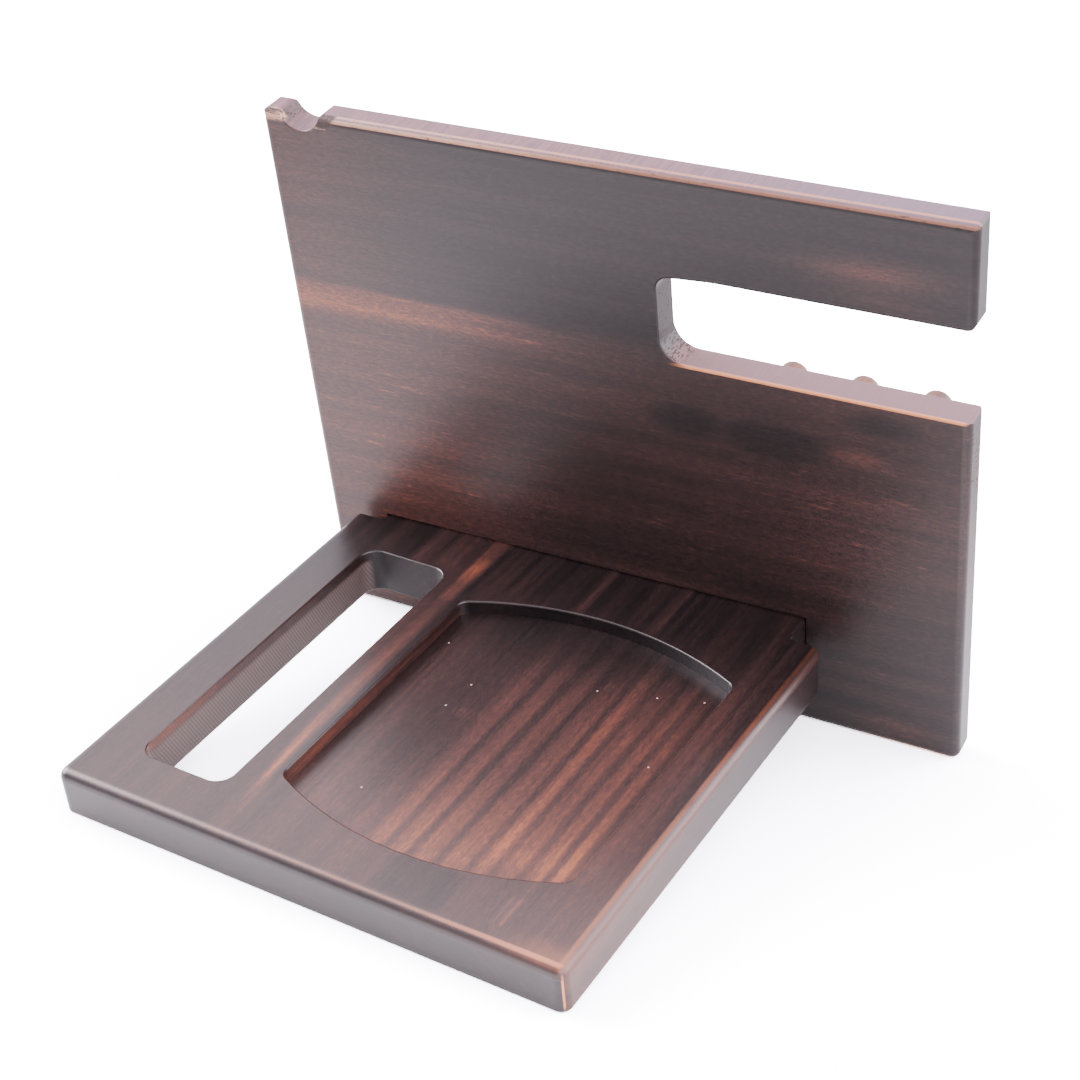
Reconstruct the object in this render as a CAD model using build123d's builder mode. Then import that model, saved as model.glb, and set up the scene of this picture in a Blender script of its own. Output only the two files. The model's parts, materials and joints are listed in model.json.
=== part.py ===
"""Two-board desk stand for a phone, a wallet, a watch and keys.

A back panel stands on its foot edge and leans forward over a sloping tray.  The tray rests on its
front bottom edge, and a tenon on its rear edge passes through a mortise in the panel, so the two
boards lock together without glue and pull apart again.  Three round pegs are glued into the back
of the panel for keys.

Millimetres and degrees.  +X is to the right of somebody facing the stand, +Y is away from them
and +Z is up.  The origin is on the desk, under the middle of the stand's bounding box.
"""

import os
from math import cos, radians, sin

from build123d import *

os.makedirs("parts", exist_ok=True)

# ---- back panel -------------------------------------------------------------------------------
PANEL_WIDTH = 240.0
PANEL_HEIGHT = 199.0
PANEL_THICKNESS = 11.5
PANEL_LEAN = 11.5  # forward of upright, over the tray
PANEL_ROUND = 2.6  # sanded roundover on the outer edges
PANEL_FOOT_CORNER = 3.0
PANEL_TOP_LEFT_CORNER = 2.4
PANEL_TOP_RIGHT_CORNER = 1.8
FOOT_Y = 77.46  # the foot edge stands this far behind the middle of the bounding box

# The open slot cuts in from the panel's right end and leaves an arm above it.
ARM_SLOT_LEFT = 139.0
ARM_SLOT_BOTTOM = 133.5
ARM_SLOT_TOP = 165.0
ARM_SLOT_LOWER_CORNER = 9.0
ARM_SLOT_UPPER_CORNER = 5.0
ARM_SLOT_SAG = 1.4  # the hand-cut upper edge drops by this much over its last stretch
ARM_SLOT_SAG_LENGTH = 19.0
ARM_SLOT_SAG_BEND = 60.0
ARM_TIP_CORNER = 2.8
LEDGE_TIP_CORNER = 1.0

# The cable notch is scooped out near the top left corner, and its outer ear is rounded off.
NOTCH_CENTRE = 14.3
NOTCH_RADIUS = 8.2
NOTCH_RISE = 2.4  # the centre of its arc is this far above the top edge
EAR_ROUND = 4.0

# ---- tray -------------------------------------------------------------------------------------
TRAY_WIDTH = 185.7
TRAY_LENGTH = 161.0
TRAY_THICKNESS = 16.5
TRAY_SLOPE = 8.9  # rises towards the panel
TRAY_SKEW = 3.2  # clockwise from above, against the panel
TRAY_LEFT = 3.5  # front left corner, in from the panel's left end
TRAY_REACH = 167.0  # front left corner, out from the panel's foot
TRAY_TOP_ROUND = 3.3
TRAY_UNDER_ROUND = 1.0
TRAY_FRONT_CORNER = 3.6
TRAY_REAR_CORNER = 4.0

# The tenon is as thick as the tray and has rounded roots where it leaves the shoulders.
SHOULDER = 12.0
TENON_LENGTH = 34.0
TENON_ROOT = 3.0
TENON_END_CORNER = 4.0
TENON_ROUND = 1.0
JOINT_GAP = 0.5  # play all round the tenon in its mortise

# The long slot goes right through the tray, front to back, along its left side.
LONG_SLOT_LEFT = 18.2
LONG_SLOT_WIDTH = 34.0
LONG_SLOT_FRONT = 19.0
LONG_SLOT_LENGTH = 124.5
LONG_SLOT_CORNER = 6.0

# The wallet recess has straight sides, and ends that bow outward.
RECESS_LEFT = 65.6
RECESS_WIDTH = 103.6
RECESS_FRONT = 31.6
RECESS_LENGTH = 99.4
RECESS_BOW = 12.0
RECESS_CORNER = 4.0
RECESS_DEPTH = 5.0

RIM_ROUND = 0.6  # broken edge round the slots, the recess and the notch
TRIM_CLEAR = 0.1  # a trimming outline runs this far outside the board it trims

# ---- key pegs ---------------------------------------------------------------------------------
PEG_RADIUS = 5.0
PEG_REACH = 28.0
PEG_SOCKET_DEPTH = 8.0
PEG_SOCKET_SPACE = 0.2  # left free between a peg's inner end and the bottom of its socket
PEG_HEIGHT = 112.1
PEG_FIRST = 168.0
PEG_PITCH = 24.3
PEG_END_ROUND = 1.6
# The glued end is turned down a little, to just clear of the panel's back.
SPIGOT_RADIUS = 4.8
SPIGOT_STANDOFF = 0.3
GLUE_GAP = 0.05  # film of glue all round a spigot in its socket
PEG_NAMES = ("key_peg_left", "key_peg_middle", "key_peg_right")


def edge_sink(angle, radius):
    """How far a rounded edge hangs above the desk when its sharp corner would touch it."""
    return radius * (sin(radians(angle)) + cos(radians(angle)) - 1.0)


# The panel's front face: x along the foot from the left end, y up the face, z out of the front.
panel_front = Plane(
    Location(
        (-PANEL_WIDTH / 2, FOOT_Y, -edge_sink(PANEL_LEAN, PANEL_ROUND)),
        (90 + PANEL_LEAN, 0, 0),
    )
)
panel_back = panel_front.offset(-PANEL_THICKNESS)
# The tray's underside: x along the front edge from the left end, y towards the panel, z up.
tray_under = Plane(
    Location(
        (-PANEL_WIDTH / 2 + TRAY_LEFT, FOOT_Y - TRAY_REACH, -edge_sink(TRAY_SLOPE, TRAY_UNDER_ROUND)),
        (TRAY_SLOPE, 0, -TRAY_SKEW),
        Extrinsic.XYZ,
    )
)
tray_top = tray_under.offset(TRAY_THICKNESS)
tenon_width = TRAY_WIDTH - 2 * SHOULDER
# The tenon's end grain, seen along the tray: x to the right, y up through the tray's thickness.
tenon_end = Plane(
    origin=tray_under.from_local_coords(Vector(TRAY_WIDTH / 2, TRAY_LENGTH, TRAY_THICKNESS / 2)),
    x_dir=tray_under.x_dir,
    z_dir=-tray_under.y_dir,
)


# ---- back panel -------------------------------------------------------------------------------
with BuildPart() as panel_blank:
    with BuildSketch(panel_front):
        with BuildLine():
            FilletPolyline(
                (0, 0),
                (PANEL_WIDTH, 0),
                (PANEL_WIDTH, PANEL_HEIGHT),
                (0, PANEL_HEIGHT),
                radius=[PANEL_FOOT_CORNER, PANEL_FOOT_CORNER, 0, 0],
                close=True,
            )
        make_face()
    extrude(amount=-PANEL_THICKNESS)
    panel_faces = panel_blank.faces().sort_by(Axis(panel_front.origin, panel_front.z_dir))
    fillet(panel_faces[0].edges() + panel_faces[-1].edges(), PANEL_ROUND)

panel_right = PANEL_WIDTH + TRIM_CLEAR
panel_top = PANEL_HEIGHT + TRIM_CLEAR
peg_places = [(PEG_FIRST + number * PEG_PITCH, PEG_HEIGHT) for number in range(len(PEG_NAMES))]
with BuildPart() as back_panel:
    # The trimming outline carries the open slot and the notch, with their own thin rims.
    with BuildSketch(panel_front):
        with BuildLine():
            FilletPolyline(
                (-TRIM_CLEAR, -TRIM_CLEAR),
                (panel_right, -TRIM_CLEAR),
                (panel_right, ARM_SLOT_BOTTOM),
                (ARM_SLOT_LEFT, ARM_SLOT_BOTTOM),
                (ARM_SLOT_LEFT, ARM_SLOT_TOP - ARM_SLOT_SAG),
                (ARM_SLOT_LEFT + ARM_SLOT_SAG_LENGTH, ARM_SLOT_TOP),
                (panel_right, ARM_SLOT_TOP),
                (panel_right, panel_top),
                (-TRIM_CLEAR, panel_top),
                radius=[
                    0,
                    0,
                    LEDGE_TIP_CORNER,
                    ARM_SLOT_LOWER_CORNER,
                    ARM_SLOT_UPPER_CORNER,
                    ARM_SLOT_SAG_BEND,
                    ARM_TIP_CORNER,
                    PANEL_TOP_RIGHT_CORNER,
                    PANEL_TOP_LEFT_CORNER,
                ],
                close=True,
            )
        make_face()
        with Locations((NOTCH_CENTRE, PANEL_HEIGHT + NOTCH_RISE)):
            Circle(NOTCH_RADIUS, mode=Mode.SUBTRACT)
        fillet(vertices().sort_by_distance((NOTCH_CENTRE - NOTCH_RADIUS, panel_top))[0], EAR_ROUND)
    extrude(amount=-PANEL_THICKNESS)
    panel_faces = back_panel.faces().sort_by(Axis(panel_front.origin, panel_front.z_dir))
    fillet(panel_faces[0].edges() + panel_faces[-1].edges(), RIM_ROUND)
    add(panel_blank.part, mode=Mode.INTERSECT)
    # The mortise runs square through the tray's direction, so it is slanted in the panel.
    with BuildSketch(tenon_end):
        Rectangle(tenon_width + 2 * JOINT_GAP, TRAY_THICKNESS + 2 * JOINT_GAP)
    extrude(amount=TENON_LENGTH * 2, both=True, mode=Mode.SUBTRACT)
    # Blind sockets for the pegs.
    with BuildSketch(panel_back):
        with Locations(peg_places):
            Circle(SPIGOT_RADIUS + GLUE_GAP)
    extrude(amount=PEG_SOCKET_DEPTH, mode=Mode.SUBTRACT)
back_panel.part.label = "back_panel"
export_step(back_panel.part, "parts/back_panel.step")
# ---- tray -------------------------------------------------------------------------------------
with BuildPart() as tray_blank:
    with BuildSketch(tray_under):
        with BuildLine():
            FilletPolyline(
                (0, 0),
                (TRAY_WIDTH, 0),
                (TRAY_WIDTH, TRAY_LENGTH + TENON_LENGTH * 2),
                (0, TRAY_LENGTH + TENON_LENGTH * 2),
                radius=TRAY_FRONT_CORNER,
                close=True,
            )
        make_face()
    extrude(amount=TRAY_THICKNESS)
    tray_faces = tray_blank.faces().sort_by(Axis(tray_under.origin, tray_under.z_dir))
    fillet(tray_faces[0].edges(), TRAY_UNDER_ROUND)
    tray_faces = tray_blank.faces().sort_by(Axis(tray_under.origin, tray_under.z_dir))
    fillet(tray_faces[-1].edges(), TRAY_TOP_ROUND)

tray_right = TRAY_WIDTH + TRIM_CLEAR
tenon_tip = TRAY_LENGTH + TENON_LENGTH
with BuildPart() as tray:
    # The trimming outline carries the shoulders and the tenon.
    with BuildSketch(tray_under):
        with BuildLine():
            FilletPolyline(
                (-TRIM_CLEAR, -TRIM_CLEAR),
                (tray_right, -TRIM_CLEAR),
                (tray_right, TRAY_LENGTH),
                (TRAY_WIDTH - SHOULDER, TRAY_LENGTH),
                (TRAY_WIDTH - SHOULDER, tenon_tip),
                (SHOULDER, tenon_tip),
                (SHOULDER, TRAY_LENGTH),
                (-TRIM_CLEAR, TRAY_LENGTH),
                radius=[
                    0,
                    0,
                    TRAY_REAR_CORNER,
                    TENON_ROOT,
                    TENON_END_CORNER,
                    TENON_END_CORNER,
                    TENON_ROOT,
                    TRAY_REAR_CORNER,
                ],
                close=True,
            )
        make_face()
    extrude(amount=TRAY_THICKNESS)
    tray_faces = tray.faces().sort_by(Axis(tray_under.origin, tray_under.z_dir))
    fillet(tray_faces[0].edges() + tray_faces[-1].edges(), TENON_ROUND)
    add(tray_blank.part, mode=Mode.INTERSECT)
    # The long slot, right through.
    with BuildSketch(tray_top):
        with Locations((LONG_SLOT_LEFT, LONG_SLOT_FRONT)):
            RectangleRounded(
                LONG_SLOT_WIDTH,
                LONG_SLOT_LENGTH,
                LONG_SLOT_CORNER,
                align=(Align.MIN, Align.MIN),
            )
    extrude(amount=-TRAY_THICKNESS, mode=Mode.SUBTRACT)
    # The wallet recess, with an arched front and rear.
    recess_right = RECESS_LEFT + RECESS_WIDTH
    recess_rear = RECESS_FRONT + RECESS_LENGTH
    with BuildSketch(tray_top):
        with BuildLine():
            Line((RECESS_LEFT, recess_rear), (RECESS_LEFT, RECESS_FRONT))
            SagittaArc((RECESS_LEFT, RECESS_FRONT), (recess_right, RECESS_FRONT), -RECESS_BOW)
            Line((recess_right, RECESS_FRONT), (recess_right, recess_rear))
            SagittaArc((recess_right, recess_rear), (RECESS_LEFT, recess_rear), -RECESS_BOW)
        make_face()
        fillet(vertices(), RECESS_CORNER)
    extrude(amount=-RECESS_DEPTH, mode=Mode.SUBTRACT)
    tray_faces = tray.faces().sort_by(Axis(tray_under.origin, tray_under.z_dir))
    slot_under_rim = tray_faces[0].inner_wires()[0]
    top_rims = [wire.edges() for wire in tray_faces[-1].inner_wires()]
    fillet(slot_under_rim.edges() + top_rims[0] + top_rims[1], RIM_ROUND)
tray.part.label = "tray"
export_step(tray.part, "parts/tray.step")

# ---- key pegs ---------------------------------------------------------------------------------
spigot_end = panel_back.offset(PEG_SOCKET_DEPTH - PEG_SOCKET_SPACE)
peg_shoulder = panel_back.offset(-SPIGOT_STANDOFF)
spigot_length = PEG_SOCKET_DEPTH - PEG_SOCKET_SPACE + SPIGOT_STANDOFF
for peg_name, peg_place in zip(PEG_NAMES, peg_places):
    with BuildPart() as key_peg:
        with BuildSketch(spigot_end):
            with Locations(peg_place):
                Circle(SPIGOT_RADIUS)
        extrude(amount=-spigot_length)
        with BuildSketch(peg_shoulder):
            with Locations(peg_place):
                Circle(PEG_RADIUS)
        extrude(amount=SPIGOT_STANDOFF - PEG_REACH)
        outer_end = key_peg.faces().sort_by(Axis(panel_back.origin, panel_back.z_dir))[0]
        fillet(outer_end.edges(), PEG_END_ROUND)
    key_peg.part.label = peg_name
    export_step(key_peg.part, f"parts/{peg_name}.step")
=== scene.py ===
import json

import bpy
from mathutils import Matrix, Vector


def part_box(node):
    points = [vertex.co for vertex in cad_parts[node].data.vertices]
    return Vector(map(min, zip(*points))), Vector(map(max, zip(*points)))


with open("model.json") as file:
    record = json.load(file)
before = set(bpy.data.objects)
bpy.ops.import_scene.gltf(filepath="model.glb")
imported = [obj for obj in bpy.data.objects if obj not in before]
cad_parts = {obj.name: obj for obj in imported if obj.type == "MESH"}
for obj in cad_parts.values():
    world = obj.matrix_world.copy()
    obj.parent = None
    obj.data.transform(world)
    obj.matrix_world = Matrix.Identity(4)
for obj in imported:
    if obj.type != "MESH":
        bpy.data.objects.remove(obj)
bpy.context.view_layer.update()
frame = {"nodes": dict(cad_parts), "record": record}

# ---- where the two boards lie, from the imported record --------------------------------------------
MM = 0.001
# Sizes of the boards and the pegs, and where the mounts lie on them, in millimetres.
TRAY_THICKNESS = 16.5
TRAY_WIDTH = 185.7
PANEL_THICKNESS = 11.5
RECESS_DEPTH = 5.0
RECESS_MIDDLE = (117.4, 81.3)
PEG_HEIGHT = 112.1
PEG_REACH = 28.0
PEG_END_ROUND = 1.6
SPIGOT_STANDOFF = 0.3

mounts = {mount["name"]: mount for mount in frame["record"]["mounts"]}


def axes_matrix(x_axis, y_axis, z_axis, origin):
    """A placement with the given axes and origin, in metres."""
    rows = [(x_axis[i], y_axis[i], z_axis[i], origin[i]) for i in range(3)]
    return Matrix(rows + [(0, 0, 0, 1)])


def tray_placement():
    """u across from the left end, v towards the panel, w up from the underside, in metres."""
    floor = mounts["recess_floor"]
    up = Vector(floor["axis"]).normalized()
    back = Vector(frame["record"]["behaviour"]["joints"][0]["axis"]).normalized()
    across = back.cross(up).normalized()
    middle = Vector((*RECESS_MIDDLE, TRAY_THICKNESS - RECESS_DEPTH)) * MM
    origin = Vector(floor["pos_m"]) - across * middle.x - back * middle.y - up * middle.z
    return axes_matrix(across, back, up, origin)


def panel_placement():
    """x along the foot from the left end, y up the face, z out of the front face, in metres."""
    peg = mounts["key_hook_left"]
    front = -Vector(peg["axis"]).normalized()
    along = Vector((1, 0, 0))
    up = front.cross(along).normalized()
    # The mount is at the middle of the straight part of the peg, which stands on the panel's back.
    peg_middle = PANEL_THICKNESS + SPIGOT_STANDOFF + (PEG_REACH - PEG_END_ROUND - SPIGOT_STANDOFF) / 2
    origin = Vector(peg["pos_m"]) + front * peg_middle * MM - up * PEG_HEIGHT * MM
    origin.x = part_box("back_panel")[0][0]
    return axes_matrix(along, up, front, origin)


tray_place = tray_placement()
panel_place = panel_placement()


# ---- a small language for shader nodes -----------------------------------------------------------
class Nodes:
    """A node tree that is built up from expressions."""

    def __init__(self, owner):
        owner.use_nodes = True
        self.tree = owner.node_tree

    def node(self, kind, **settings):
        made = self.tree.nodes.new(kind)
        for key, value in settings.items():
            setattr(made, key, value)
        return made

    def put(self, socket, value):
        """Links an output to a socket, or sets the socket's own value."""
        if isinstance(value, bpy.types.NodeSocket):
            self.tree.links.new(value, socket)
        elif value is not None:
            socket.default_value = value

    def math(self, operation, a, b=None, clamp=False):
        made = self.node("ShaderNodeMath", operation=operation, use_clamp=clamp)
        for socket, value in zip(made.inputs, (a, b)):
            self.put(socket, value)
        return made.outputs[0]

    def add(self, a, b):
        return self.math("ADD", a, b)

    def sub(self, a, b):
        return self.math("SUBTRACT", a, b)

    def mul(self, a, b):
        return self.math("MULTIPLY", a, b)

    def swing(self, noise, amount):
        """A noise turned into a change that goes either way."""
        return self.mul(self.sub(noise, 0.5), amount)

    def clamp(self, a):
        return self.math("ADD", a, 0.0, clamp=True)

    def step(self, value, low, high, start=0.0, end=1.0):
        """A smooth change from start to end while value goes from low to high."""
        made = self.node("ShaderNodeMapRange", interpolation_type="SMOOTHSTEP")
        for name, given in zip(
            ("Value", "From Min", "From Max", "To Min", "To Max"), (value, low, high, start, end)
        ):
            self.put(made.inputs[name], given)
        return made.outputs["Result"]

    def band(self, value, low, high, soft):
        """1 between low and high, falling to 0 over soft outside them."""
        rise = self.step(value, low - soft, low)
        return self.mul(rise, self.step(value, high, high + soft, 1.0, 0.0))

    def line(self, value, place, width, soft):
        return self.band(value, place - width / 2, place + width / 2, soft)

    def either(self, a, b):
        return self.math("MAXIMUM", a, b)

    def length(self, a, b):
        return self.math("SQRT", self.add(self.mul(a, a), self.mul(b, b)))

    def choose(self, factor, a, b):
        """The number a where factor is 0, and b where it is 1."""
        made = self.node("ShaderNodeMix")
        for socket, value in ((0, factor), (2, a), (3, b)):
            self.put(made.inputs[socket], value)
        return made.outputs[0]

    def mix(self, factor, a, b):
        """The colour a where factor is 0, and b where it is 1."""
        made = self.node("ShaderNodeMix", data_type="RGBA", clamp_factor=True)
        for socket, value in ((0, factor), (6, a), (7, b)):
            self.put(made.inputs[socket], value)
        return made.outputs[2]

    def split(self, vector):
        made = self.node("ShaderNodeSeparateXYZ")
        self.put(made.inputs[0], vector)
        return made.outputs

    def vector_math(self, operation, a, b=None):
        made = self.node("ShaderNodeVectorMath", operation=operation)
        for socket, value in zip(made.inputs, (a, b)):
            self.put(socket, value)
        return made.outputs

    def coordinates(self, kind):
        return self.node("ShaderNodeTexCoord").outputs[kind]

    def is_camera_ray(self):
        return self.node("ShaderNodeLightPath").outputs["Is Camera Ray"]


class Shader(Nodes):
    """A Principled material for a board or a peg."""

    def __init__(self, name):
        self.material = bpy.data.materials.new(name)
        super().__init__(self.material)
        self.principled = self.tree.nodes["Principled BSDF"]

    def place(self, placement):
        """Board coordinates in millimetres."""
        made = self.node("ShaderNodeMapping", vector_type="TEXTURE")
        self.put(made.inputs["Vector"], self.coordinates("Object"))
        made.inputs["Location"].default_value = placement.translation
        made.inputs["Rotation"].default_value = placement.to_euler()
        made.inputs["Scale"].default_value = (MM, MM, MM)
        return made.outputs[0]

    def normal(self, placement):
        """The surface's direction in board coordinates."""
        made = self.node("ShaderNodeMapping", vector_type="TEXTURE")
        self.put(made.inputs["Vector"], self.coordinates("Normal"))
        made.inputs["Rotation"].default_value = placement.to_euler()
        return made.outputs[0]

    def join(self, x, y, z):
        made = self.node("ShaderNodeCombineXYZ")
        for socket, value in zip(made.inputs, (x, y, z)):
            self.put(socket, value)
        return made.outputs[0]

    def scaled(self, vector, x, y, z, shift=(0, 0, 0)):
        made = self.node("ShaderNodeMapping", vector_type="POINT")
        self.put(made.inputs["Vector"], vector)
        made.inputs["Scale"].default_value = (x, y, z)
        made.inputs["Location"].default_value = shift
        return made.outputs[0]

    def noise(self, vector, detail=3.0, rough=0.5):
        made = self.node("ShaderNodeTexNoise", noise_dimensions="3D")
        self.put(made.inputs["Vector"], vector)
        for name, value in (("Scale", 1.0), ("Detail", detail), ("Roughness", rough)):
            made.inputs[name].default_value = value
        return made.outputs["Fac"]

    def blob(self, x, y, centre, size, soft=1.0):
        """1 in the middle of an ellipse, falling smoothly to 0 at its edge."""
        a = self.mul(self.sub(x, centre[0]), 1.0 / size[0])
        b = self.mul(self.sub(y, centre[1]), 1.0 / size[1])
        return self.step(self.length(a, b), 1.0 - soft, 1.0, 1.0, 0.0)

    def ramp(self, factor, *stops):
        made = self.node("ShaderNodeValToRGB")
        elements = made.color_ramp.elements
        while len(elements) < len(stops):
            elements.new(0.5)
        for element, (position, colour) in zip(elements, stops):
            element.position = position
            element.color = (*colour, 1.0)
        self.put(made.inputs[0], factor)
        return made.outputs["Color"]

    def bump(self, height, strength, distance):
        made = self.node("ShaderNodeBump")
        self.put(made.inputs["Height"], height)
        made.inputs["Strength"].default_value = strength
        made.inputs["Distance"].default_value = distance
        return made.outputs[0]


# ---- colours and marks ---------------------------------------------------------------------------
# The stain's colours, from where it is deepest to where it is sanded thin.
STAIN = (
    (0.00, (0.0016, 0.0009, 0.0011)),
    (0.20, (0.0052, 0.0025, 0.0026)),
    (0.40, (0.0122, 0.0055, 0.0051)),
    (0.60, (0.0270, 0.0104, 0.0086)),
    (0.80, (0.0610, 0.0188, 0.0118)),
    (1.00, (0.1500, 0.0430, 0.0165)),
)
# Bare wood where the stain is gone, which also paints highlights along edges, and the dark inside of
# a scar, which also paints shade under the tray's front edge.
TAN_WEAR_AND_HIGHLIGHT = (0.27, 0.088, 0.038, 1)
CREAM_WEAR_AND_HIGHLIGHT = (0.27, 0.145, 0.095, 1)
ORANGE = (0.42, 0.15, 0.050, 1)
SCAR_AND_SHADE = (0.020, 0.0095, 0.0080, 1)
# The panel's paler upward edges: two shades, a cooler one to the right and a browner ledge.
PALE = (0.070, 0.034, 0.040, 1)
PALER = (0.112, 0.054, 0.062, 1)
COOL_PALE = (0.092, 0.060, 0.084, 1)
LEDGE_PALE = (0.135, 0.068, 0.064, 1)
# The tray's right roundover in two shades, the planed wall of its slot, and dust in the lacquer.
RUBBED = (0.040, 0.0120, 0.0085, 1)
RUBBED_LIGHT = (0.082, 0.024, 0.0145, 1)
PLANED = (0.086, 0.061, 0.055, 1)
DUST = (0.42, 0.33, 0.30, 1)

# The relief of the grain, its depth in metres.
BUMP_STRENGTH = 0.36
BUMP_DEPTH = 0.00012

# Marks, in millimetres along each board's own axes.
# Short bright streaks on the panel, where the stain was rubbed off the grain: x, y, length, width.
RUBBED_STREAKS = (
    (192.0, 91.4, 9.0, 1.1), (88.0, 84.0, 6.0, 1.2), (133.0, 69.0, 8.0, 1.0),
    (190.0, 68.6, 14.0, 1.0), (92.0, 130.6, 7.0, 1.2), (44.0, 101.0, 16.0, 1.8),
    (32.0, 98.0, 11.0, 1.5), (207.0, 80.0, 13.0, 1.1), (152.0, 52.0, 6.0, 0.8),
    (167.0, 103.0, 6.0, 0.8), (60.0, 62.0, 12.0, 1.0), (20.0, 74.0, 14.0, 1.4),
    (108.0, 116.0, 7.0, 0.7), (218.0, 99.0, 9.0, 2.2), (196.0, 60.0, 8.0, 0.8),
)
# A frame a little larger than the tray's long slot: u of its sides and v of its ends.
LONG_SLOT_SIDES = (17.6, 52.8)
LONG_SLOT_ENDS = (18.4, 144.0)
# The middle of the tree, round which the tray's end grain curves: u, w.
PITH = (95.0, -60.0)
# Growth rings across the tray's recess: u, width.
RECESS_RINGS = (
    (109.3, 0.4), (117.6, 0.8), (127.0, 0.7), (137.0, 1.0), (144.3, 0.5), (152.0, 0.8),
    (159.3, 0.6), (165.5, 0.5),
)
FAINT_RINGS = (71.5, 74.0, 91.0)
# Thin orange lines on the tray's front frame: u.
FRONT_LINES = (157.5, 160.2)
# Specks of dust caught in the lacquer of the recess: u, v.
DUST_RADIUS = 0.45
DUST_SPECKS = (
    (70.8, 115.0), (90.0, 99.5), (128.4, 115.0), (147.4, 120.4), (162.0, 125.0),
    (161.4, 89.8), (87.4, 42.0), (88.4, 87.0),
)


def stain(shader, tone):
    """Tone 0 is the deepest stain and 1 is where it is almost worn through."""
    return shader.ramp(shader.clamp(tone), *STAIN)


def fibres(shader, along_grain):
    """Fine, medium and broad fibres, with the grain along the first axis, in millimetres."""
    fine = shader.noise(shader.scaled(along_grain, 0.14, 2.2, 2.2), detail=4.0, rough=0.6)
    medium = shader.noise(shader.scaled(along_grain, 0.012, 0.55, 0.55), rough=0.55)
    broad = shader.noise(shader.scaled(along_grain, 0.006, 0.12, 0.12), detail=2.0, rough=0.5)
    return fine, medium, broad


def grit(shader, along_grain):
    """Pores and tiny flecks, a little longer along the grain."""
    return shader.noise(shader.scaled(along_grain, 0.40, 1.15, 1.15), detail=4.0, rough=0.75)


def wood_tone(shader, base, fine, medium, broad, mottle):
    """The base tone with fibres, slow bands and small mottling."""
    tone = base
    for noise, amount in ((medium, 0.20), (fine, 0.24), (broad, 0.44), (mottle, 0.18)):
        tone = shader.add(tone, shader.swing(noise, amount))
    return tone


def finish(shader, colour, roughness, height, gloss=0.42):
    """A satin lacquer over the grain's relief."""
    principled = shader.principled
    shader.put(principled.inputs["Base Color"], colour)
    shader.put(principled.inputs["Roughness"], roughness)
    principled.inputs["IOR"].default_value = 1.5
    principled.inputs["Specular IOR Level"].default_value = gloss
    shader.put(principled.inputs["Normal"], shader.bump(height, BUMP_STRENGTH, BUMP_DEPTH))
    return shader.material


# ---- back panel ----------------------------------------------------------------------------------
def panel_tone(s, at, x, y, fine, medium, broad, pitted):
    """How light the stain is over the panel."""
    mottle = s.noise(s.scaled(at, 0.35, 0.8, 0.8))
    wander = s.noise(s.scaled(at, 0.02, 0.05, 0.05), detail=2.0)
    y_wander = s.add(y, s.swing(wander, 7.0))

    # Redder at the left end and towards the right, deepest over the tray.
    base = s.step(x, 20.0, 118.0, 0.64, 0.35)
    base = s.add(base, s.step(x, 165.0, 215.0, 0.0, 0.08))
    base = s.sub(base, s.mul(s.step(y, 70.0, 30.0), s.step(x, 70.0, 100.0, 0.0, 0.17)))
    tone = wood_tone(s, base, fine, medium, broad, mottle)
    # The upper part of the board took more stain, down to a wavering line along the grain.
    upper = s.step(y_wander, 136.0, 140.0)
    upper_tone = wood_tone(s, s.step(x, 0.0, 95.0, 0.56, 0.16), fine, medium, broad, mottle)
    below = s.mul(s.band(y_wander, 130.0, 136.0, 7.0), s.step(x, 150.0, 60.0))
    tone = s.add(tone, s.mul(below, s.step(x, 40.0, 120.0, 0.20, 0.14)))
    tone = s.add(s.mul(tone, s.sub(1.0, upper)), s.mul(upper_tone, upper))
    dashes = s.noise(s.scaled(at, 0.10, 0.9, 0.9, (9.0, 0.0, 0.0)), detail=2.0)
    dashes = s.step(dashes, 0.58, 0.78)
    tone = s.add(tone, s.mul(dashes, s.step(upper, 0.0, 1.0, 0.20, 0.10)))
    tone = s.add(tone, s.swing(pitted, 0.85))
    # Brown cloud on the arm.
    cloud = s.blob(x, y_wander, (210.0, 177.0), (40.0, 12.0))
    low_cloud = s.blob(x, y_wander, (212.0, 167.5), (34.0, 6.0))
    tone = s.add(tone, s.mul(s.add(cloud, s.mul(low_cloud, 0.6)), 0.42))
    # Dark figure below the slot, with a warm streak at its end.
    figure = s.blob(x, y, (147.0, 113.5), (17.0, 8.5), 0.6)
    figure = s.either(figure, s.blob(x, y, (177.0, 112.5), (24.0, 9.0), 0.6))
    figure = s.either(figure, s.blob(x, y_wander, (213.0, 126.0), (17.0, 5.0), 0.8))
    tone = s.sub(tone, s.mul(figure, 0.24))
    tone = s.add(tone, s.mul(s.blob(x, y, (205.0, 113.5), (17.0, 5.0)), 0.22))
    # Growth lines low on the board.
    rings = s.math("SINE", s.mul(s.add(y_wander, s.mul(x, 0.02)), 0.62))
    low_zone = s.mul(s.step(y, 62.0, 20.0), s.step(x, 120.0, 200.0))
    tone = s.add(tone, s.mul(s.mul(rings, low_zone), 0.06))
    tone = s.add(tone, s.mul(s.blob(x, y, (220.0, 7.0), (26.0, 12.0)), 0.26))
    # Warm light band just above the joint.
    tone = s.add(tone, s.mul(s.blob(x, y, (128.0, 45.5), (62.0, 4.5)), 0.16))
    for cx, cy, length, width in RUBBED_STREAKS:
        streak = s.mul(s.blob(x, y, (cx, cy), (length, width)), s.step(fine, 0.38, 0.62))
        tone = s.add(tone, s.mul(streak, 0.30))
    return tone


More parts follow.
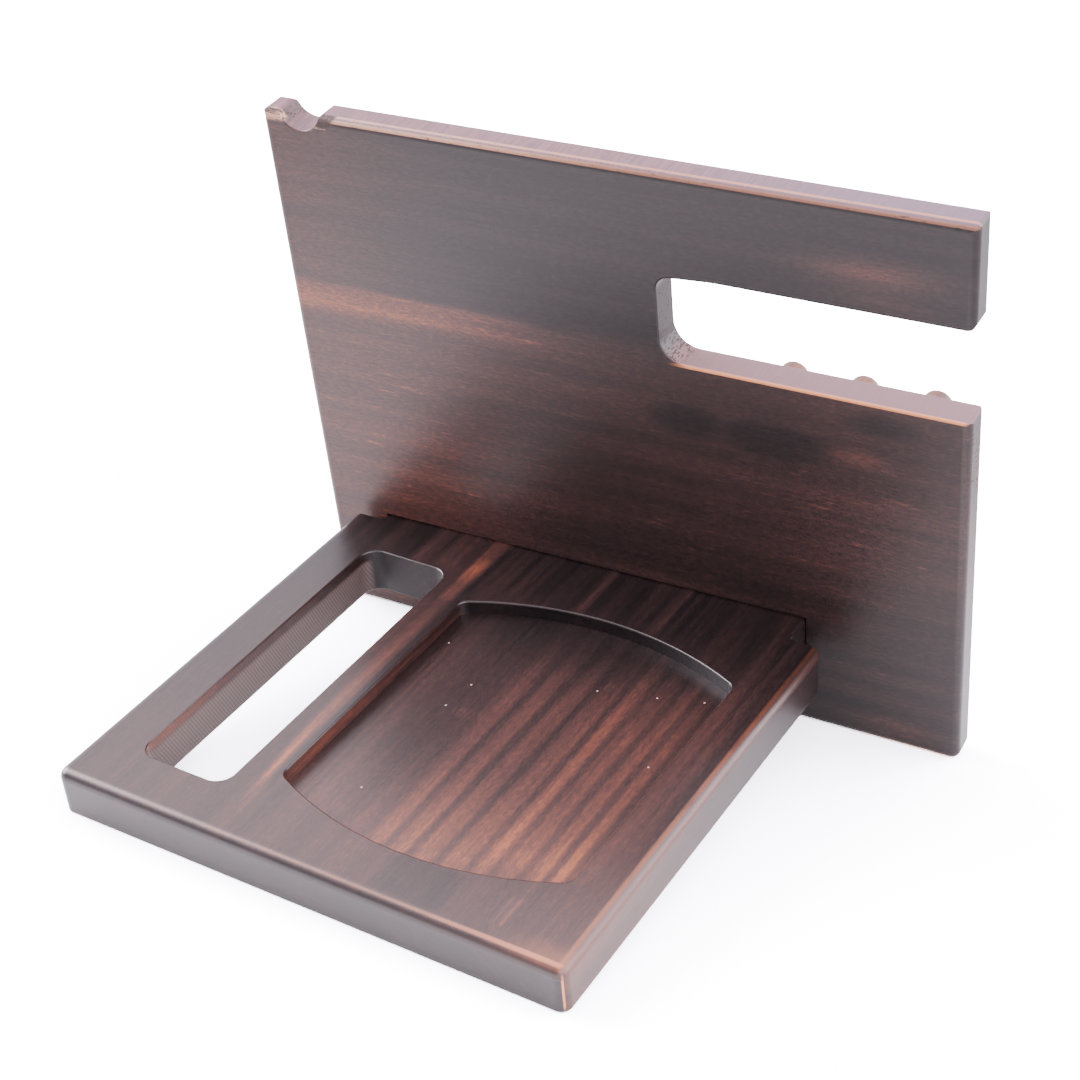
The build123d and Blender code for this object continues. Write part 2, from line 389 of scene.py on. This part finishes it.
def panel_worn_edges(s, at, x, y, z, nx, nz, colour):
    """The colour with the stain sanded or torn off and a painted highlight along the top front edge,
    and a mask of the scars.
    """
    # Stain sanded through along the top front edge, partly a painted highlight: a thin line, and a
    # ragged cream band below it.
    torn = s.noise(s.scaled(at, 0.28, 1.3, 1.3), detail=4.0, rough=0.65)
    near_top = s.step(y, 195.0, 196.5)
    line = s.mul(s.line(z, -2.2, 0.45, 0.5), s.step(y, 198.0, 198.8))
    band = s.mul(s.band(y, 197.6, 198.3, 0.3), s.step(z, -2.2, -1.2))
    band = s.mul(band, s.step(torn, 0.28, 0.44))
    band = s.mul(band, s.step(x, 150.0, 60.0, 0.35, 0.80))
    past_notch = s.step(x, 25.0, 28.5)
    line = s.mul(line, s.step(torn, 0.25, 0.5, 0.35, 0.8))
    # The worn line and band also paint a highlight on the top front edge.
    worn_and_highlight = s.mul(s.either(line, band), past_notch)
    wear_and_highlight_colour = s.mix(s.step(x, 40.0, 150.0, 0.0, 0.6), CREAM_WEAR_AND_HIGHLIGHT, TAN_WEAR_AND_HIGHLIGHT)
    colour = s.mix(worn_and_highlight, colour, wear_and_highlight_colour)
    # The ear is worn round its front, with torn grain, and so is the edge beside the notch.
    ear = s.mul(s.step(x, 9.5, 8.0), near_top)
    ear_front = s.mul(ear, s.step(z, -3.2, -2.2))
    colour = s.mix(s.mul(ear_front, s.step(torn, 0.36, 0.48)), colour, CREAM_WEAR_AND_HIGHLIGHT)
    scar = s.mul(s.mul(ear_front, s.band(y, 197.7, 198.9, 0.3)), s.step(torn, 0.60, 0.46))
    speckle = s.noise(s.scaled(at, 1.4, 1.4, 0.6), detail=2.0, rough=0.6)
    slanted = s.sub(x, s.mul(s.sub(y, 197.5), 0.8))
    chip_height = s.mul(s.step(y, 195.4, 195.9), s.step(z, -3.0, -2.4))
    chip = s.mul(s.band(slanted, 21.2, 26.6, 0.5), chip_height)
    scar = s.either(scar, s.mul(chip, s.step(speckle, 0.36, 0.54, 0.30, 1.0)))
    foot_line = s.mul(s.line(y, 195.3, 0.5, 0.25), s.step(z, -1.0, -0.5))
    chip_foot = s.mul(s.band(slanted, 20.8, 26.2, 0.4), foot_line)
    colour = s.mix(s.mul(chip_foot, s.step(torn, 0.45, 0.60, 0.0, 0.6)), colour, CREAM_WEAR_AND_HIGHLIGHT)
    wall = s.mul(s.mul(s.step(x, 12.5, 10.5), s.step(x, 5.5, 7.5)), s.step(y, 193.5, 195.0))
    wall = s.mul(wall, s.step(nx, 0.3, 0.6))
    scar = s.either(scar, s.mul(wall, s.step(speckle, 0.56, 0.62)))
    # Torn grain in the lower corner of the open slot, and nicks up its short wall.
    corner = s.blob(x, y, (141.0, 136.0), (8.0, 8.0), 0.6)
    in_slot = s.mul(s.step(nz, 0.5, 0.2), s.step(x, 138.0, 138.8))
    scar = s.either(scar, s.mul(s.mul(corner, in_slot), s.step(speckle, 0.52, 0.58)))
    short_wall = s.mul(s.band(y, 138.0, 162.0, 2.0), s.step(x, 160.0, 150.0))
    short_wall = s.mul(s.step(nx, 0.5, 0.8), short_wall)
    nick = s.noise(s.scaled(at, 0.3, 0.75, 1.5, (4.0, 0.0, 0.0)), detail=1.0)
    scar = s.either(scar, s.mul(short_wall, s.step(nick, 0.66, 0.72)))
    # Open pores at the right end, below the ledge.
    pores = s.mul(s.step(x, 237.0, 238.0), s.band(y, 108.0, 128.0, 4.0))
    scar = s.either(scar, s.mul(pores, s.step(speckle, 0.57, 0.62)))
    colour = s.mix(s.mul(scar, 0.88), colour, SCAR_AND_SHADE)
    # A thin orange line along the front of the ledge.
    ledge = s.mul(s.band(y, 133.0, 133.7, 0.3), s.step(z, -1.3, -0.7))
    ledge = s.mul(ledge, s.mul(s.step(x, 141.0, 150.0), s.step(x, 239.5, 237.5)))
    colour = s.mix(s.mul(ledge, s.step(torn, 0.2, 0.5, 0.35, 0.7)), colour, ORANGE)
    # The foot edge shows a little orange at its right end.
    foot = s.mul(s.mul(s.step(y, 1.7, 1.1), s.step(x, 195.0, 220.0)), s.step(z, -3.0, -1.0))
    foot = s.mul(foot, s.step(x, 238.5, 236.5))
    return s.mix(s.mul(foot, 0.8), colour, ORANGE), scar


def panel_wood():
    s = Shader("panel_walnut")
    at = s.place(panel_place)
    x, y, z = s.split(at)
    nx, ny, nz = s.split(s.normal(panel_place))
    fine, medium, broad = fibres(s, at)
    pitted = grit(s, at)
    colour = stain(s, panel_tone(s, at, x, y, fine, medium, broad, pitted))

    # The upward edges are paler, with faint marks across them.
    upward = s.step(ny, 0.55, 0.95)
    cross = s.noise(s.scaled(at, 1.1, 0.2, 0.10), rough=0.6)
    pale = s.mix(s.step(cross, 0.35, 0.65), PALE, PALER)
    on_ledge = s.step(y, 180.0, 160.0)
    pale = s.mix(s.step(x, 120.0, 230.0, 0.0, 0.7), pale, COOL_PALE)
    pale = s.mix(s.mul(on_ledge, 0.6), pale, LEDGE_PALE)
    colour = s.mix(s.mul(upward, 0.9), colour, pale)

    colour, scar = panel_worn_edges(s, at, x, y, z, nx, nz, colour)

    rough = s.add(0.37, s.swing(fine, 0.14))
    rough = s.add(rough, s.mul(upward, 0.08))
    rough = s.add(rough, s.mul(scar, 0.35))
    height = s.add(s.mul(pitted, 0.9), s.mul(medium, 0.4))
    height = s.sub(height, s.mul(scar, 0.9))
    return finish(s, colour, rough, height, gloss=0.32)


# ---- tray ----------------------------------------------------------------------------------------
def tray_base(s, u, v, nu, nv, on_top):
    """The stain's depth over the tray: thinnest at the front and deepest by the panel, with a painted
    reflection lightening the right side face.
    """
    base = s.add(s.step(v, 165.0, 95.0, 0.20, 0.43), s.step(v, 90.0, 15.0, 0.0, 0.11))
    base = s.sub(base, s.mul(on_top, s.step(u, 90.0, 20.0, 0.0, 0.05)))
    behind_slot = s.mul(s.band(u, 40.0, 62.0, 8.0), s.step(v, 138.0, 148.0))
    base = s.add(base, s.mul(behind_slot, 0.26))
    right_of_recess = s.mul(s.band(u, 140.0, 168.0, 8.0), s.band(v, 40.0, 125.0, 12.0))
    base = s.add(base, s.mul(right_of_recess, 0.12))
    # Painted reflection: the right side face is made lighter towards the front, where it mirrors the
    # bright table.
    right_side_painted_reflection = s.mul(s.step(nu, 0.6, 0.9), s.step(u, 150.0, 180.0))
    base = s.add(base, s.mul(right_side_painted_reflection, s.step(v, 120.0, 40.0, 0.0, 0.20)))
    base = s.sub(base, s.mul(s.step(nv, -0.5, -0.8), s.step(v, 5.0, 2.0, 0.0, 0.30)))
    return base


def frame_marks(s, u, v, u_wander, frame_top, medium, stripes, tone):
    """The tone with the streaks and patches in the wood round the slot and the recess."""
    # Streak of sapwood between the slot and the recess, with brown to its left and a dark line.
    core = s.add(60.2, s.step(v, 60.0, 10.0, 0.0, 3.2))
    off = s.math("ABSOLUTE", s.sub(u_wander, core))
    width = s.step(v, 12.0, 90.0, 0.5, 1.6)
    streak = s.mul(s.step(s.sub(off, width), 2.4, -0.8), s.step(v, 6.0, 34.0, 0.10, 1.0))
    strength = s.either(s.step(v, 115.0, 60.0, 0.50, 1.0), s.band(v, 133.0, 152.0, 10.0))
    streak = s.mul(streak, s.mul(strength, s.step(medium, 0.30, 0.60, 0.6, 1.0)))
    tone = s.add(tone, s.mul(s.mul(streak, frame_top), 0.48))
    brown = s.mul(s.band(u_wander, 53.5, 57.0, 3.0), s.band(v, 20.0, 140.0, 15.0))
    tone = s.add(tone, s.mul(s.mul(brown, frame_top), 0.07))
    dark_line = s.mul(s.line(u_wander, 64.6, 0.8, 1.2), s.band(v, 30.0, 158.0, 10.0))
    tone = s.sub(tone, s.mul(s.mul(dark_line, frame_top), 0.12))
    # Reddish and dark streaks behind the slot and the recess, and along the right side.
    rear = s.mul(frame_top, s.step(v, 138.0, 150.0))
    tone = s.add(tone, s.mul(s.mul(s.sub(stripes, 0.5), rear), 0.9))
    right_frame = s.mul(frame_top, s.step(u, 169.0, 173.0))
    tone = s.add(tone, s.mul(s.mul(s.sub(stripes, 0.50), right_frame), 0.6))
    # A darker patch on the front frame, with thin orange lines beside it.
    patch = s.mul(s.band(u_wander, 120.0, 140.0, 4.0), s.band(v, 5.5, 18.0, 3.0))
    tone = s.sub(tone, s.mul(s.mul(patch, frame_top), 0.14))
    for place in FRONT_LINES:
        thin = s.mul(s.line(u_wander, place, 0.5, 0.7), s.band(v, 9.0, 18.0, 3.0))
        tone = s.add(tone, s.mul(s.mul(thin, frame_top), 0.16))
    return tone


def end_grain(s, u, v, w, nv, mottle, tone):
    """The tone with growth rings on the front face and, more openly, on the tenon's end."""
    radius = s.length(s.sub(u, PITH[0]), s.sub(w, PITH[1]))
    arcs = s.math("SINE", s.add(s.mul(radius, 1.8), s.mul(mottle, 2.5)))
    end_face = s.step(s.math("ABSOLUTE", nv), 0.6, 0.85)
    tenon_end = s.mul(end_face, s.step(v, 180.0, 185.0))
    tone = s.add(tone, s.mul(s.mul(arcs, end_face), s.step(v, 180.0, 185.0, 0.04, 0.13)))
    tone = s.add(tone, s.mul(tenon_end, 0.24))
    return tone


def recess_rings(s, u, v, u_wander, in_recess, fine, broad, tone):
    """The tone with the growth rings in the floor of the recess."""
    # Soft dark lines in warmer wood.
    warm = s.mul(in_recess, s.step(u_wander, 101.5, 104.5))
    rear_fade = s.step(v, 140.0, 95.0, 0.15, 1.0)
    rear_fade = s.either(rear_fade, s.step(u, 120.0, 150.0, 0.0, 0.75))
    fade = s.mul(rear_fade, s.step(u, 100.0, 125.0, 0.7, 1.0))
    rings = 0.0
    for place, width in RECESS_RINGS:
        rings = s.either(rings, s.line(u_wander, place, width, 2.0))
    tone = s.add(tone, s.mul(s.mul(warm, fade), 0.17))
    rings = s.mul(rings, s.step(broad, 0.25, 0.65, 0.55, 1.0))
    tone = s.sub(tone, s.mul(s.mul(s.mul(warm, fade), rings), 0.25))
    tone = s.add(tone, s.mul(in_recess, s.step(v, 70.0, 22.0, -0.02, 0.14)))
    tone = s.sub(tone, s.mul(in_recess, s.step(v, 112.0, 138.0, 0.0, 0.10)))
    for place in FAINT_RINGS:
        faint = s.mul(s.mul(s.line(u_wander, place, 0.4, 0.6), in_recess), 0.10)
        tone = s.sub(tone, faint)
    mark = s.mul(s.blob(u, v, (97.0, 86.5), (8.0, 3.5), 0.5), in_recess)
    tone = s.add(tone, s.mul(s.mul(mark, s.step(fine, 0.4, 0.6)), 0.12))
    return tone


def recess_walls(s, u, v, w, nu, nv, nw, medium, tone):
    """The tone with brown figure on the recess's left wall, and nearly black at its rear."""
    wall = s.mul(s.mul(s.step(w, 16.2, 15.6), s.step(w, 11.4, 11.8)), s.step(nw, 0.6, 0.3))
    left_wall = s.mul(s.mul(wall, s.step(nu, 0.6, 0.9)), s.band(u, 64.5, 68.0, 1.0))
    tone = s.add(tone, s.mul(s.mul(left_wall, s.step(medium, 0.35, 0.60)), 0.28))
    rear_wall = s.mul(s.mul(wall, s.step(nv, -0.5, -0.8)), s.step(u, 64.0, 66.0))
    tone = s.sub(tone, s.mul(s.mul(rear_wall, s.step(v, 125.0, 130.0)), 0.22))
    return tone


def slot_walls(s, at, u, v, w, nu, nv, nw, tone):
    """The tone with the long slot's walls, and masks of its planed, sawn and rear surfaces."""
    # A red-brown band at the top front, slanting saw marks below it, and end grain at the rear.
    in_slot = s.mul(s.band(u, *LONG_SLOT_SIDES, 0.2), s.step(nw, 0.6, 0.3))
    in_slot = s.mul(in_slot, s.mul(s.step(w, 16.3, 15.8), s.band(v, *LONG_SLOT_ENDS, 0.2)))
    slot_left = s.mul(in_slot, s.step(nu, 0.6, 0.9))
    ribs = s.math("SINE", s.mul(s.add(v, s.mul(w, 0.45)), 5.2))
    below_band = s.step(w, 13.5, 11.5)
    sawn = s.mul(slot_left, ribs)
    tone = s.sub(tone, s.mul(s.mul(sawn, below_band), 0.13))
    top_band = s.mul(slot_left, s.sub(1.0, below_band))
    tone = s.add(tone, s.mul(top_band, s.step(v, 90.0, 30.0, 0.0, 0.22)))
    grains = s.noise(s.scaled(at, 1.1, 0.3, 1.3), rough=0.65)
    slot_rear = s.mul(in_slot, s.step(nv, -0.5, -0.8))
    tone = s.sub(tone, s.mul(slot_rear, s.step(grains, 0.50, 0.60, 0.08, 0.34)))
    planed = s.mul(s.mul(slot_left, below_band), s.sub(0.62, s.mul(ribs, 0.22)))
    return tone, planed, sawn, slot_rear


def tray_worn_edges(s, at, u, v, w, nv, stripes, colour):
    """The colour with the stain sanded through along the tray's edges, partly as painted highlights,
    and a painted shade band under the front edge.
    """
    # Stain sanded through on the roundovers, partly a painted highlight: a thin line at the front,
    # most at the right corner.
    ragged = s.step(s.noise(s.scaled(at, 0.10, 0.10, 0.8)), 0.25, 0.50, 0.55, 1.0)
    high = s.step(w, TRAY_THICKNESS - 0.75, TRAY_THICKNESS - 0.35)
    spread = s.step(u, 120.0, 178.0)
    front_wear_and_highlight = s.step(s.sub(v, s.mul(spread, 0.7)), 2.2, 2.9, 1.0, 0.0)
    front_wear_and_highlight = s.mul(s.mul(front_wear_and_highlight, s.step(v, 1.5, 2.0)), high)
    front_wear_and_highlight = s.mul(front_wear_and_highlight, s.add(s.step(u, 5.0, 110.0, 0.12, 0.26), s.mul(spread, 0.46)))
    front_wear_and_highlight = s.mul(front_wear_and_highlight, ragged)
    right_round = s.band(u, TRAY_WIDTH - 2.4, TRAY_WIDTH + 1.0, 1.0)
    right_round = s.mul(right_round, s.step(w, TRAY_THICKNESS - 4.2, TRAY_THICKNESS - 2.0))
    right_round = s.mul(right_round, s.step(v, 160.0, 70.0, 0.25, 1.0))
    rubbed = s.mix(s.step(stripes, 0.35, 0.60), RUBBED, RUBBED_LIGHT)
    colour = s.mix(s.mul(right_round, s.mul(ragged, 0.65)), colour, rubbed)
    # Painted highlight, partly worn stain, along the right top edge.
    right_wear_and_highlight = s.mul(s.line(u, TRAY_WIDTH - 2.4, 0.5, 0.8), high)
    right_wear_and_highlight = s.mul(right_wear_and_highlight, s.step(v, 150.0, 70.0, 0.25, 1.0))
    colour = s.mix(s.mul(s.mul(right_wear_and_highlight, ragged), 0.22), colour, TAN_WEAR_AND_HIGHLIGHT)
    colour = s.mix(front_wear_and_highlight, colour, TAN_WEAR_AND_HIGHLIGHT)
    # Painted highlight, partly worn stain, on the front right corner's roundover.
    corner = s.blob(u, v, (TRAY_WIDTH - 3.0, 3.0), (26.0, 9.0))
    corner = s.mul(corner, s.step(w, TRAY_THICKNESS - 2.0, TRAY_THICKNESS - 0.7))
    colour = s.mix(s.mul(corner, s.mul(ragged, 0.20)), colour, TAN_WEAR_AND_HIGHLIGHT)
    post = s.line(s.sub(s.sub(TRAY_WIDTH, u), v), 0.0, 0.35, 0.55)
    post = s.mul(post, s.mul(s.step(v, 3.6, 2.6), s.step(u, TRAY_WIDTH - 3.6, TRAY_WIDTH - 2.6)))
    post = s.mul(post, s.step(w, TRAY_THICKNESS - 1.6, TRAY_THICKNESS - 3.0))
    colour = s.mix(s.mul(s.mul(post, s.step(w, 0.6, 3.0)), 0.90), colour, ORANGE)
    # Under the front line a painted shade band darkens the roundover, most near the corner.
    painted_shade_under_edge = s.mul(s.band(w, TRAY_THICKNESS - 3.6, TRAY_THICKNESS - 1.3, 0.5), s.step(v, 1.4, 0.9))
    painted_shade_under_edge = s.mul(painted_shade_under_edge, s.mul(s.step(u, 100.0, 178.0), s.step(nv, -0.3, -0.6)))
    return s.mix(s.mul(painted_shade_under_edge, 0.75), colour, SCAR_AND_SHADE)


def tray_wood():
    s = Shader("tray_walnut")
    at = s.place(tray_place)
    u, v, w = s.split(at)
    nu, nv, nw = s.split(s.normal(tray_place))
    along = s.join(v, u, w)
    fine, medium, broad = fibres(s, along)
    mottle = s.noise(s.scaled(along, 0.35, 0.8, 0.8))
    wander = s.noise(s.scaled(along, 0.012, 0.05, 0.05), detail=1.5)
    u_wander = s.add(u, s.swing(wander, 3.0))
    on_top = s.step(nw, 0.3, 0.8)

    base = tray_base(s, u, v, nu, nv, on_top)
    tone = wood_tone(s, base, fine, medium, broad, mottle)
    pitted = grit(s, along)
    tone = s.add(tone, s.swing(pitted, 0.48))
    inside = s.mul(s.step(w, TRAY_THICKNESS - 3.2, TRAY_THICKNESS - 4.2), s.step(nw, 0.5, 0.9))
    in_recess = s.mul(inside, s.step(u, 55.0, 58.0))
    frame_top = s.mul(on_top, s.sub(1.0, in_recess))
    stripes = s.noise(s.scaled(along, 0.004, 0.22, 0.2), detail=2.0, rough=0.6)
    tone = frame_marks(s, u, v, u_wander, frame_top, medium, stripes, tone)
    tone = end_grain(s, u, v, w, nv, mottle, tone)
    tone = recess_rings(s, u, v, u_wander, in_recess, fine, broad, tone)
    tone = recess_walls(s, u, v, w, nu, nv, nw, medium, tone)
    tone, planed, sawn, slot_rear = slot_walls(s, at, u, v, w, nu, nv, nw, tone)
    colour = s.mix(planed, stain(s, tone), PLANED)

    colour = tray_worn_edges(s, at, u, v, w, nv, stripes, colour)
    for cu, cv in DUST_SPECKS:
        speck = s.mul(s.blob(u, v, (cu, cv), (DUST_RADIUS, DUST_RADIUS), 0.7), in_recess)
        colour = s.mix(s.mul(speck, 0.7), colour, DUST)

    rough = s.add(0.30, s.swing(fine, 0.10))
    rough = s.add(rough, s.mul(in_recess, 0.03))
    rough = s.add(rough, s.mul(slot_rear, 0.30))
    height = s.add(s.mul(pitted, 0.6), s.mul(medium, 0.4))
    height = s.sub(height, s.mul(sawn, 0.35))
    return finish(s, colour, rough, height)


def peg_wood():
    s = Shader("peg_wood")
    at = s.place(panel_place)
    x, y, z = s.split(at)
    fine, medium, broad = fibres(s, s.join(z, x, y))
    mottle = s.noise(s.scaled(at, 0.5, 0.5, 0.5))
    colour = stain(s, wood_tone(s, 0.82, fine, medium, broad, mottle))
    rough = s.add(0.36, s.swing(fine, 0.12))
    return finish(s, colour, rough, fine)


def give(name, material):
    mesh = frame["nodes"][name].data
    mesh.materials.clear()
    mesh.materials.append(material)


give("back_panel", panel_wood())
give("tray", tray_wood())
pegs = peg_wood()
for peg_name in ("key_peg_left", "key_peg_middle", "key_peg_right"):
    give(peg_name, pegs)


# ---- floor, light and camera ---------------------------------------------------------------------
# How bright the white room is, in tens, from level (0) to straight overhead (1): the pale wall
# behind the stand, and the dimmer side in front of it.
WALL = ((0.0, 0.22), (0.25, 0.27), (0.5, 0.34), (0.64, 0.28), (0.80, 0.62), (1.0, 0.60))
FRONT = ((0.0, 0.20), (0.5, 0.20), (0.80, 0.28), (1.0, 0.60))
# The softbox: its direction, the cosines of its outer and inner edges, and its brightness.
SOFTBOX = (-0.86, -0.05, 0.50)
SOFTBOX_EDGE = (0.89, 0.95)
SOFTBOX_LEVEL = 30.0
# A soft fill from the right, with none overhead.
FILL_LEVEL = 9.0
LIGHT_COLOUR = (1.0, 0.935, 1.025, 1.0)
# How bright the room and the table look to the camera itself.
SEEN_ROOM = 12.0
SEEN_TABLE = (2.8, 2.86, 2.92, 1)
# Half the table's side, in metres.
TABLE_REACH = 3.0
# The table carries a painted pool of light, lightest round the stand: its shades near and far, at
# these distances in metres from a point a little to the left of the middle.
TABLE_PAINTED_LIGHT = (0.88, 0.36)
TABLE_DISTANCES = (0.16, 0.42)
TABLE_SHIFT = (0.06, 0.0, 0.0)

# The lens and the sensor, in millimetres.
LENS = 70.02
SENSOR = 36.0
CAMERA_RIGHT = (0.87567, 0.48285, 0.00799)
CAMERA_AHEAD = (-0.42806, 0.78375, -0.45000)
# In metres from the left end of the panel's foot. The last number is the height above the table.
CAMERA_PLACE = (0.39959, -0.58083, 0.37552)


def by_height(s, height, levels):
    """A brightness that follows the levels from low to high."""
    made = s.node("ShaderNodeFloatCurve")
    points = made.mapping.curves[0].points
    points[0].location = levels[0]
    points[1].location = levels[-1]
    for place, level in levels[1:-1]:
        points.new(place, level)
    made.mapping.update()
    s.put(made.inputs["Value"], height)
    return s.mul(made.outputs[0], 10.0)


def sky():
    """A white room: a softbox up to the left, a pale wall behind and a dimmer side in front."""
    world = bpy.data.worlds.new("studio")
    bpy.context.scene.world = world
    s = Nodes(world)
    towards = s.coordinates("Generated")
    x, y, z = s.split(towards)
    behind = s.step(y, -0.25, 0.30)
    light = s.choose(behind, by_height(s, z, FRONT), by_height(s, z, WALL))
    fill = s.mul(s.step(x, 0.1, 0.7, 0.0, FILL_LEVEL), s.step(z, 0.88, 0.60))
    light = s.add(light, fill)
    cosine = s.vector_math("DOT_PRODUCT", towards, Vector(SOFTBOX).normalized())["Value"]
    light = s.add(light, s.step(cosine, *SOFTBOX_EDGE, 0.0, SOFTBOX_LEVEL))
    background = s.tree.nodes["Background"]
    s.put(background.inputs["Strength"], s.choose(s.is_camera_ray(), light, SEEN_ROOM))
    s.put(background.inputs["Color"], LIGHT_COLOUR)


def ground():
    """A white table with a painted pool of light round the stand, which looks clean to the camera."""
    mesh = bpy.data.meshes.new("floor")
    corners = [(-1, -1), (1, -1), (1, 1), (-1, 1)]
    mesh.from_pydata([(x * TABLE_REACH, y * TABLE_REACH, 0) for x, y in corners], [], [(0, 1, 2, 3)])
    floor = bpy.data.objects.new("floor", mesh)
    bpy.context.collection.objects.link(floor)
    material = bpy.data.materials.new("white_table")
    s = Nodes(material)
    s.tree.nodes.clear()
    off_centre = s.vector_math("ADD", s.coordinates("Object"), TABLE_SHIFT)["Vector"]
    distance = s.vector_math("LENGTH", off_centre)["Value"]
    # Painted pool of light: the table's colour is lighter round the stand and darker far from it.
    painted_light_pool = s.step(distance, *TABLE_DISTANCES, *TABLE_PAINTED_LIGHT)
    diffuse = s.node("ShaderNodeBsdfDiffuse")
    s.put(diffuse.inputs["Color"], s.mix(s.is_camera_ray(), painted_light_pool, SEEN_TABLE))
    s.put(s.node("ShaderNodeOutputMaterial").inputs["Surface"], diffuse.outputs[0])
    mesh.materials.append(material)


def view_from_the_right():
    """A long lens, from the front right and above, level but for half a degree."""
    camera = bpy.data.cameras.new("camera")
    camera.sensor_width = SENSOR
    camera.lens = LENS
    holder = bpy.data.objects.new("camera", camera)
    bpy.context.collection.objects.link(holder)
    right = Vector(CAMERA_RIGHT)
    ahead = Vector(CAMERA_AHEAD)
    origin = panel_place.translation + Vector(CAMERA_PLACE)
    origin.z = CAMERA_PLACE[2]
    holder.matrix_world = axes_matrix(right, right.cross(ahead), -ahead, origin)
    bpy.context.scene.camera = holder


sky()
ground()
view_from_the_right()
